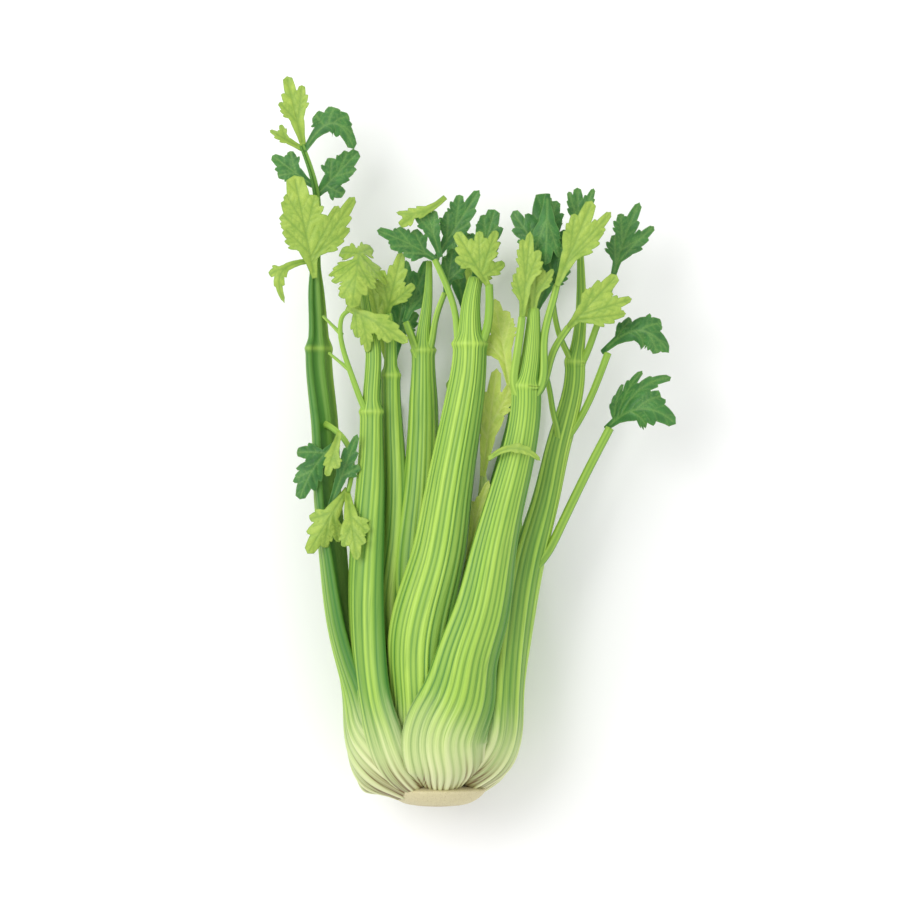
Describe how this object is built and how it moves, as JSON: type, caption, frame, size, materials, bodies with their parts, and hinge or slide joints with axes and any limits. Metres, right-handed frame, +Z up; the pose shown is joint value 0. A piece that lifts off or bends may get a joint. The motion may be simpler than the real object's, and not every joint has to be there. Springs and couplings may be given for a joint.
{
  "type": "head of celery",
  "caption": "Whole head of celery: ribbed green stalks rising from a rounded pale root end, with joints, thin leaf stems and small toothed leaves.",
  "frame": {"origin": "centre of the bounding box, on the surface the head lies on", "axes": "+Y from the root end along the stalks to the leaves, +Z up from the surface, so the backs of the front stalks face up; +X completes the frame"},
  "size_m": [0.2112, 0.38, 0.0942],
  "materials": {
    "root_plate": "dull cut flesh, cream with a brown scar",
    "stalk_far_left": "ribbed green stalk, slightly glossy",
    "stalk_left": "ribbed green stalk, slightly glossy",
    "stalk_left_inner": "ribbed green stalk, slightly glossy",
    "stalk_centre_inner": "ribbed light green stalk, slightly glossy",
    "stalk_centre": "ribbed green stalk, slightly glossy",
    "stalk_front": "ribbed green stalk, slightly glossy",
    "stalk_right": "ribbed green stalk, slightly glossy",
    "stalk_heart": "pale inner stalk, slightly glossy",
    "stalk_back_left": "ribbed green stalk, slightly glossy",
    "stalk_back_centre": "ribbed green stalk, slightly glossy",
    "stalk_back_right": "ribbed green stalk, slightly glossy",
    "stalk_shoot": "pale inner stalk, slightly glossy",
    "leaf_far_left_1": "thin light leaf, slightly waxy",
    "leaf_far_left_2": "thin light leaf, slightly waxy",
    "leaf_far_left_3": "thin dark leaf, slightly waxy",
    "leaf_far_left_4": "thin dark leaf, slightly waxy",
    "leaf_far_left_5": "thin dark leaf, slightly waxy",
    "leaf_far_left_6": "thin light leaf, slightly waxy",
    "leaf_far_left_7": "thin light leaf, slightly waxy",
    "leaf_far_left_8": "thin dark leaf, slightly waxy",
    "leaf_far_left_9": "thin light leaf, slightly waxy",
    "leaf_far_left_10": "thin dark leaf, slightly waxy",
    "leaf_far_left_11": "thin light leaf, slightly waxy",
    "leaf_far_left_12": "thin light leaf, slightly waxy",
    "leaf_left_1": "thin light leaf, slightly waxy",
    "leaf_left_2": "thin light leaf, slightly waxy",
    "leaf_left_inner_1": "thin light leaf, slightly waxy",
    "leaf_centre_inner_1": "thin dark leaf, slightly waxy",
    "leaf_centre_inner_2": "thin dark leaf, slightly waxy",
    "leaf_centre_1": "thin dark leaf, slightly waxy",
    "leaf_centre_2": "thin dark leaf, slightly waxy",
    "leaf_centre_3": "thin light leaf, slightly waxy",
    "leaf_centre_4": "thin dark leaf, slightly waxy",
    "leaf_centre_5": "thin dark leaf, slightly waxy",
    "leaf_centre_6": "thin light leaf, slightly waxy",
    "leaf_front_1": "thin yellow-green leaf, slightly waxy",
    "leaf_front_2": "thin light leaf, slightly waxy",
    "leaf_front_3": "thin light leaf, slightly waxy",
    "leaf_front_4": "thin dark leaf, slightly waxy",
    "leaf_front_5": "thin dark leaf, slightly waxy",
    "leaf_front_6": "thin light leaf, slightly waxy",
    "leaf_front_7": "thin light leaf, slightly waxy",
    "leaf_right_1": "thin dark leaf, slightly waxy",
    "leaf_right_2": "thin dark leaf, slightly waxy",
    "leaf_right_3": "thin dark leaf, slightly waxy",
    "leaf_right_4": "thin dark leaf, slightly waxy",
    "leaf_heart_1": "thin yellow-green leaf, slightly waxy",
    "leaf_heart_2": "thin yellow-green leaf, slightly waxy",
    "leaf_heart_3": "thin yellow-green leaf, slightly waxy",
    "leaf_back_left_1": "thin green leaf, slightly waxy",
    "leaf_back_left_2": "thin green leaf, slightly waxy",
    "leaf_back_centre_1": "thin green leaf, slightly waxy",
    "leaf_back_centre_2": "thin green leaf, slightly waxy",
    "leaf_back_right_1": "thin green leaf, slightly waxy",
    "leaf_back_right_2": "thin green leaf, slightly waxy",
    "leaf_shoot_1": "thin yellow-green leaf, slightly waxy",
    "leaf_shoot_2": "thin yellow-green leaf, slightly waxy"
  },
  "bodies": {
    "root": {"root_plate": "root_plate", "stalk_far_left": "stalk_far_left", "stalk_left": "stalk_left", "stalk_left_inner": "stalk_left_inner", "stalk_centre_inner": "stalk_centre_inner", "stalk_centre": "stalk_centre", "stalk_front": "stalk_front", "stalk_right": "stalk_right", "stalk_heart": "stalk_heart", "stalk_back_left": "stalk_back_left", "stalk_back_centre": "stalk_back_centre", "stalk_back_right": "stalk_back_right", "stalk_shoot": "stalk_shoot", "leaf_far_left_1": "leaf_far_left_1", "leaf_far_left_2": "leaf_far_left_2", "leaf_far_left_3": "leaf_far_left_3", "leaf_far_left_4": "leaf_far_left_4", "leaf_far_left_5": "leaf_far_left_5", "leaf_far_left_6": "leaf_far_left_6", "leaf_far_left_7": "leaf_far_left_7", "leaf_far_left_8": "leaf_far_left_8", "leaf_far_left_9": "leaf_far_left_9", "leaf_far_left_10": "leaf_far_left_10", "leaf_far_left_11": "leaf_far_left_11", "leaf_far_left_12": "leaf_far_left_12", "leaf_left_1": "leaf_left_1", "leaf_left_2": "leaf_left_2", "leaf_left_inner_1": "leaf_left_inner_1", "leaf_centre_inner_1": "leaf_centre_inner_1", "leaf_centre_inner_2": "leaf_centre_inner_2", "leaf_centre_1": "leaf_centre_1", "leaf_centre_2": "leaf_centre_2", "leaf_centre_3": "leaf_centre_3", "leaf_centre_4": "leaf_centre_4", "leaf_centre_5": "leaf_centre_5", "leaf_centre_6": "leaf_centre_6", "leaf_front_1": "leaf_front_1", "leaf_front_2": "leaf_front_2", "leaf_front_3": "leaf_front_3", "leaf_front_4": "leaf_front_4", "leaf_front_5": "leaf_front_5", "leaf_front_6": "leaf_front_6", "leaf_front_7": "leaf_front_7", "leaf_right_1": "leaf_right_1", "leaf_right_2": "leaf_right_2", "leaf_right_3": "leaf_right_3", "leaf_right_4": "leaf_right_4", "leaf_heart_1": "leaf_heart_1", "leaf_heart_2": "leaf_heart_2", "leaf_heart_3": "leaf_heart_3", "leaf_back_left_1": "leaf_back_left_1", "leaf_back_left_2": "leaf_back_left_2", "leaf_back_centre_1": "leaf_back_centre_1", "leaf_back_centre_2": "leaf_back_centre_2", "leaf_back_right_1": "leaf_back_right_1", "leaf_back_right_2": "leaf_back_right_2", "leaf_shoot_1": "leaf_shoot_1", "leaf_shoot_2": "leaf_shoot_2"}
  },
  "joints": []
}
